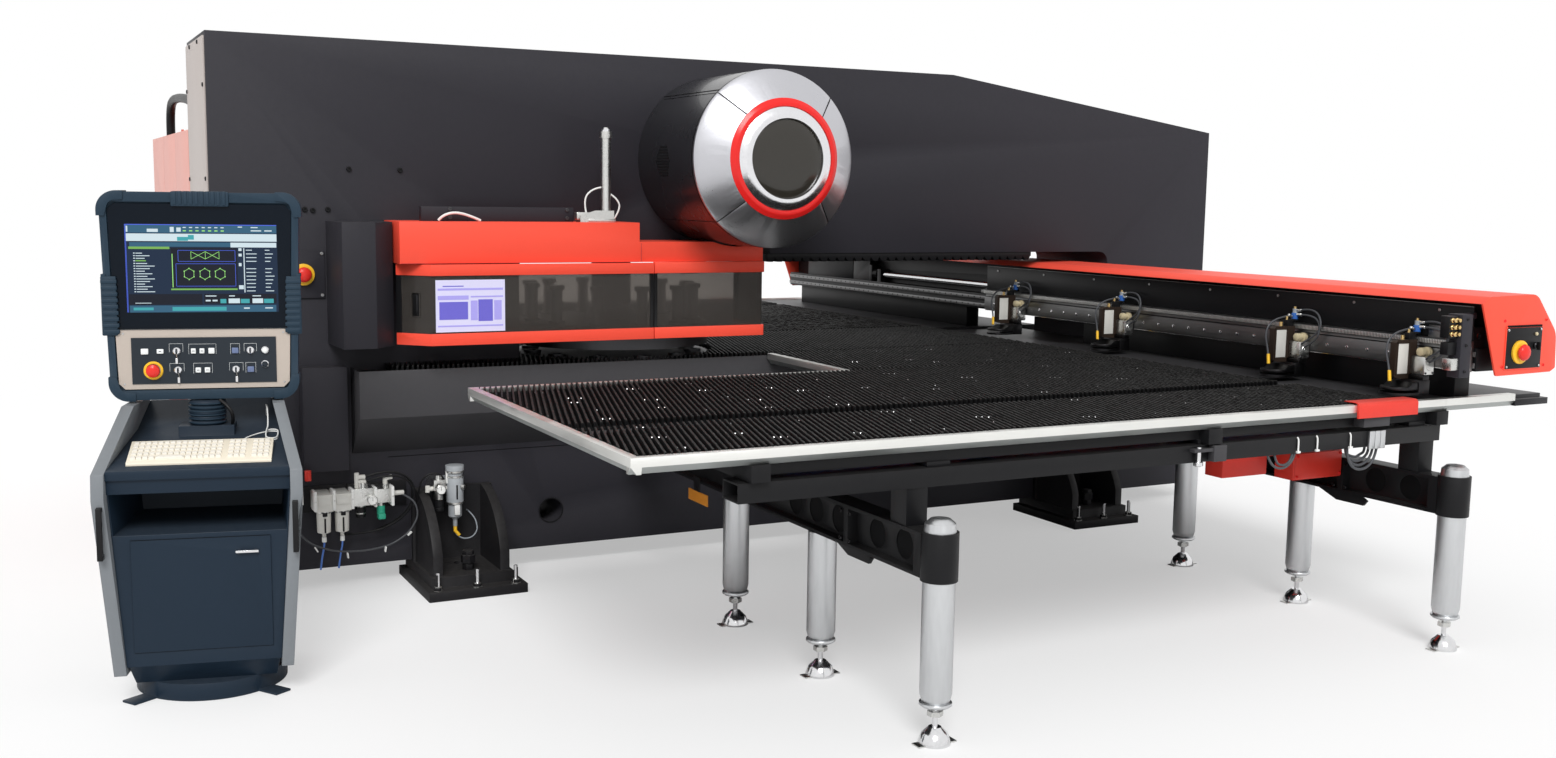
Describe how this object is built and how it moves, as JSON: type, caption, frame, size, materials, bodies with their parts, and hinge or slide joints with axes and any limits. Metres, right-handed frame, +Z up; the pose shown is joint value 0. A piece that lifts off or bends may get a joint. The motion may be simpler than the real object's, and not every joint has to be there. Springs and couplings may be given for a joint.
{
  "type": "cnc turret punch press",
  "caption": "Bridge-frame turret punch press with drum drive housings, guarded turrets, brush tables on legs, clamp carriage under a red cover and a swivelling operator pendant.",
  "frame": {"origin": "on the floor, under the middle of the bridge frame and in the middle of the four anchor holes of its feet", "axes": "+Z up, +X along the bridge frame towards the carriage beam's side, +Y to the rear, away from the drum's pale face"},
  "size_m": [5.931, 6.1833, 2.355],
  "materials": {
    "frame_paint": "semi-gloss charcoal paint with a fine texture",
    "end_cover_paint": "satin warm grey paint",
    "drum_dark": "polished black",
    "silver_paint": "satin metallic silver",
    "signal_red": "semi-gloss orange red",
    "stop_red": "gloss red on yellow",
    "black_paint": "semi-gloss black",
    "bristle_black": "matt nylon bristle",
    "tinted_pane": "smoke-tinted, polished",
    "tool_steel": "ground",
    "bright_steel": "polished",
    "turret_iron": "machined",
    "extrusion": "anodised, satin",
    "leg_silver": "satin silver paint",
    "console_dark": "fine-textured slate blue",
    "console_pale": "satin warm grey",
    "pendant_rubber": "matt slate",
    "pendant_face": "beige panel, black glass above it",
    "keyboard_cream": "satin cream",
    "cord_white": "satin",
    "air_fittings": "satin, with clear bowls",
    "hose_white": "satin polyurethane",
    "cable_black": "matt",
    "cabinet_red": "textured faded red"
  },
  "bodies": {
    "bridge_frame": {"main_frame": "frame_paint", "end_cover": "end_cover_paint", "frame_feet": "black_paint", "drive_housings": "drum_dark", "housing_face_segments": "silver_paint", "housing_hub": "signal_red", "turret_hood": "signal_red", "turret_side_guard": "signal_red", "side_guard_window": "tinted_pane", "turret_column_cover": "frame_paint", "hood_lift_unit": "bright_steel", "centre_table": "black_paint", "centre_brushes": "bristle_black", "guide_beams": "black_paint", "support_arms": "black_paint", "support_legs": "leg_silver", "levelling_feet": "bright_steel", "junction_boxes": "signal_red", "frame_service_covers": "black_paint", "air_service_unit": "air_fittings", "air_hoses": "hose_white", "energy_chain": "cable_black", "control_cabinet": "cabinet_red", "cabinet_conduit": "cable_black", "console_cabinet": "console_dark", "console_side_panels": "console_pale", "keyboard": "keyboard_cream", "keyboard_cord": "cord_white"},
    "guard_door": {"guard_door": "signal_red", "guard_door_window": "tinted_pane"},
    "upper_turret": {"upper_turret": "turret_iron", "punch_holders": "tool_steel"},
    "lower_turret": {"lower_turret": "turret_iron"},
    "ram": {"ram": "tool_steel"},
    "crankshaft": {"crankshaft": "tool_steel"},
    "carriage_base": {"carriage_beam": "black_paint", "carriage_cover": "signal_red", "side_tables": "black_paint", "side_brushes": "bristle_black", "table_edge_profiles": "extrusion", "table_underframe": "black_paint"},
    "x_ball_screw": {"x_ball_screw": "bright_steel"},
    "carriage": {"carriage_plate": "tool_steel"},
    "pendant": {"pendant_housing": "pendant_rubber", "pendant_panel": "pendant_face"},
    "console_door": {"console_door": "console_dark"},
    "e_stop_frame": {"e_stop_frame": "stop_red"},
    "e_stop_carriage": {"e_stop_carriage": "stop_red"},
    "e_stop_console": {"e_stop_console": "stop_red"},
    "clamp_1": {"clamp_1": "air_fittings"},
    "clamp_jaw_1": {"clamp_jaw_1": "black_paint"},
    "clamp_2": {"clamp_2": "air_fittings"},
    "clamp_jaw_2": {"clamp_jaw_2": "black_paint"},
    "clamp_3": {"clamp_3": "air_fittings"},
    "clamp_jaw_3": {"clamp_jaw_3": "black_paint"},
    "clamp_4": {"clamp_4": "air_fittings"},
    "clamp_jaw_4": {"clamp_jaw_4": "black_paint"},
    "cabinet_door_1": {"cabinet_door_1": "cabinet_red"},
    "cabinet_door_2": {"cabinet_door_2": "cabinet_red"},
    "cabinet_door_3": {"cabinet_door_3": "cabinet_red"}
  },
  "joints": [
    {"name": "guard_door_hinge", "type": "hinge", "parent": "bridge_frame", "child": "guard_door", "pos_m": [-0.861, -0.624, 1.2], "axis": [0, 0, 1], "range_deg": [0, 100]},
    {"name": "upper_turret_spin", "type": "hinge", "parent": "bridge_frame", "child": "upper_turret", "pos_m": [-0.824, 0, 1.06], "axis": [0, 0, 1], "continuous": true},
    {"name": "lower_turret_spin", "type": "hinge", "parent": "bridge_frame", "child": "lower_turret", "pos_m": [-0.824, 0, 0.91], "axis": [0, 0, 1], "continuous": true},
    {"name": "ram_stroke", "type": "slide", "parent": "bridge_frame", "child": "ram", "axis": [0, 0, -1], "range_m": [0, 0.032]},
    {"name": "crank_spin", "type": "hinge", "parent": "bridge_frame", "child": "crankshaft", "pos_m": [-0.424, 0, 1.884], "axis": [0, 1, 0], "continuous": true},
    {"name": "table_slide", "type": "slide", "parent": "bridge_frame", "child": "carriage_base", "axis": [-1, 0, 0], "range_m": [0, 0.6]},
    {"name": "carriage_slide", "type": "slide", "parent": "carriage_base", "child": "carriage", "axis": [0, 1, 0], "range_m": [0, 2.4]},
    {"name": "screw_spin", "type": "hinge", "parent": "carriage_base", "child": "x_ball_screw", "pos_m": [1.608, 0, 1.226], "axis": [0, 1, 0], "range_deg": [0, 21601]},
    {"name": "pendant_swivel", "type": "hinge", "parent": "bridge_frame", "child": "pendant", "pos_m": [-2.83625, -1.28708, 0.986], "axis": [0, 0, 1], "range_deg": [-30, 30]},
    {"name": "console_door_hinge", "type": "hinge", "parent": "bridge_frame", "child": "console_door", "pos_m": [-3.12332, -1.57468, 0.37], "axis": [0, 0, -1], "range_deg": [0, 100]},
    {"name": "e_stop_frame_push", "type": "slide", "parent": "bridge_frame", "child": "e_stop_frame", "axis": [0, 1, 0], "range_m": [0, 0.006], "stiffness_N_per_m": 400},
    {"name": "e_stop_carriage_push", "type": "slide", "parent": "carriage_base", "child": "e_stop_carriage", "axis": [0, 1, 0], "range_m": [0, 0.006], "stiffness_N_per_m": 400},
    {"name": "e_stop_console_push", "type": "slide", "parent": "pendant", "child": "e_stop_console", "axis": [0.2079, 0.9781, 0], "range_m": [0, 0.006], "stiffness_N_per_m": 400},
    {"name": "clamp_1_slide", "type": "slide", "parent": "carriage", "child": "clamp_1", "axis": [0, 1, 0], "range_m": [-0.15, 0.15]},
    {"name": "clamp_1_grip", "type": "hinge", "parent": "clamp_1", "child": "clamp_jaw_1", "pos_m": [1.4438, -0.13, 1.008], "axis": [0, -1, 0], "range_deg": [0, 4], "stiffness_Nm_per_rad": 60, "springref_deg": -8.59},
    {"name": "clamp_2_slide", "type": "slide", "parent": "carriage", "child": "clamp_2", "axis": [0, 1, 0], "range_m": [-0.15, 0.15]},
    {"name": "clamp_2_grip", "type": "hinge", "parent": "clamp_2", "child": "clamp_jaw_2", "pos_m": [1.4438, -1.015, 1.008], "axis": [0, -1, 0], "range_deg": [0, 4], "stiffness_Nm_per_rad": 60, "springref_deg": -8.59},
    {"name": "clamp_3_slide", "type": "slide", "parent": "carriage", "child": "clamp_3", "axis": [0, 1, 0], "range_m": [-0.15, 0.15]},
    {"name": "clamp_3_grip", "type": "hinge", "parent": "clamp_3", "child": "clamp_jaw_3", "pos_m": [1.4438, -2.15, 1.008], "axis": [0, -1, 0], "range_deg": [0, 4], "stiffness_Nm_per_rad": 60, "springref_deg": -8.59},
    {"name": "clamp_4_slide", "type": "slide", "parent": "carriage", "child": "clamp_4", "axis": [0, 1, 0], "range_m": [-0.15, 0.15]},
    {"name": "clamp_4_grip", "type": "hinge", "parent": "clamp_4", "child": "clamp_jaw_4", "pos_m": [1.4438, -2.785, 1.008], "axis": [0, -1, 0], "range_deg": [0, 4], "stiffness_Nm_per_rad": 60, "springref_deg": -8.59},
    {"name": "cabinet_door_1_hinge", "type": "hinge", "parent": "bridge_frame", "child": "cabinet_door_1", "pos_m": [-2.694, 0.97417, 1], "axis": [0, 0, -1], "range_deg": [0, 110]},
    {"name": "cabinet_door_2_hinge", "type": "hinge", "parent": "bridge_frame", "child": "cabinet_door_2", "pos_m": [-2.694, 1.55083, 1], "axis": [0, 0, -1], "range_deg": [0, 110]},
    {"name": "cabinet_door_3_hinge", "type": "hinge", "parent": "bridge_frame", "child": "cabinet_door_3", "pos_m": [-2.694, 2.1275, 1], "axis": [0, 0, -1], "range_deg": [0, 110]}
  ],
  "couplings": [
    {"joint": "lower_turret_spin", "follows": "upper_turret_spin", "ratio": 1},
    {"joint": "screw_spin", "follows": "carriage_slide", "rad_per_m": 157.08}
  ]
}
